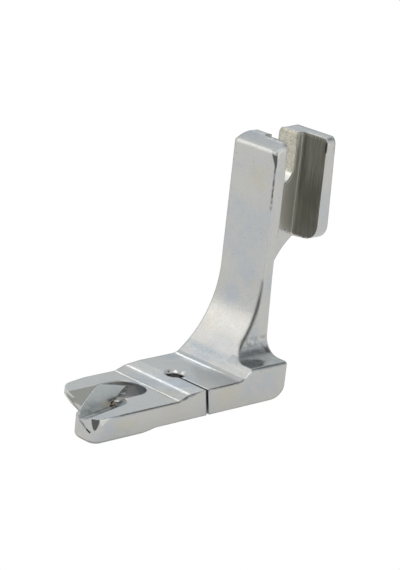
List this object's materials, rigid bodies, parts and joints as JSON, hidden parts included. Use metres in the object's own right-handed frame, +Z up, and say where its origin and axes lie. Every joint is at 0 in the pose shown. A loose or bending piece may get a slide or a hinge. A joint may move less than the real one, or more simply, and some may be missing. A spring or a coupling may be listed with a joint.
{
  "type": "rolled-hem presser foot",
  "caption": "Solid high-shank presser foot with a curled steel scroll between its toes that rolls a narrow hem; open side slot for the clamp screw.",
  "frame": {"origin": "needle hole's axis at the sole's underside", "axes": "+Z up along the needle, +Y from the toes to the heel and the presser bar, +X to the operator's right"},
  "size_m": [0.0122, 0.0421, 0.0332],
  "materials": {
    "plated_body": "polished",
    "scroll_steel": "polished"
  },
  "bodies": {
    "root": {"foot_body": "plated_body", "hem_scroll": "scroll_steel"}
  },
  "joints": []
}
